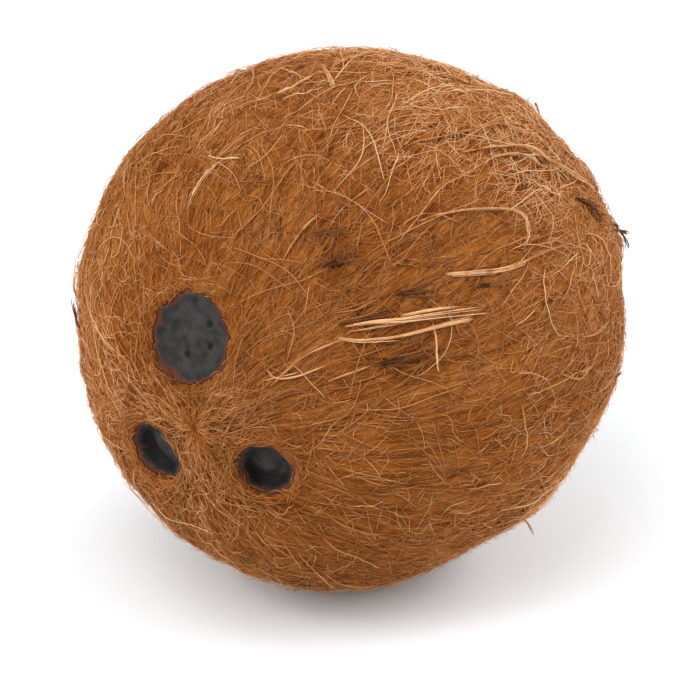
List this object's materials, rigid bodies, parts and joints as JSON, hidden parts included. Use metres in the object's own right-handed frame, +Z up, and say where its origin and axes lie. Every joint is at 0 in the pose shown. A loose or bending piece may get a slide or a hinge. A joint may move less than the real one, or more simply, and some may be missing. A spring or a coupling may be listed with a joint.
{
  "type": "coconut",
  "caption": "Husked brown coconut lying on its side: a round, slightly long nut with germination eyes at its stem end and loose coir strands.",
  "frame": {"origin": "middle of the small flat spot that the nut rests on", "axes": "+Z up, the nut's long axis along Y, with the stem end and its eyes facing -Y and the far tip facing +Y"},
  "size_m": [0.1191, 0.1282, 0.1185],
  "materials": {
    "coir_shell": "matt, fibrous"
  },
  "bodies": {
    "root": {"coconut": "coir_shell"}
  },
  "joints": []
}
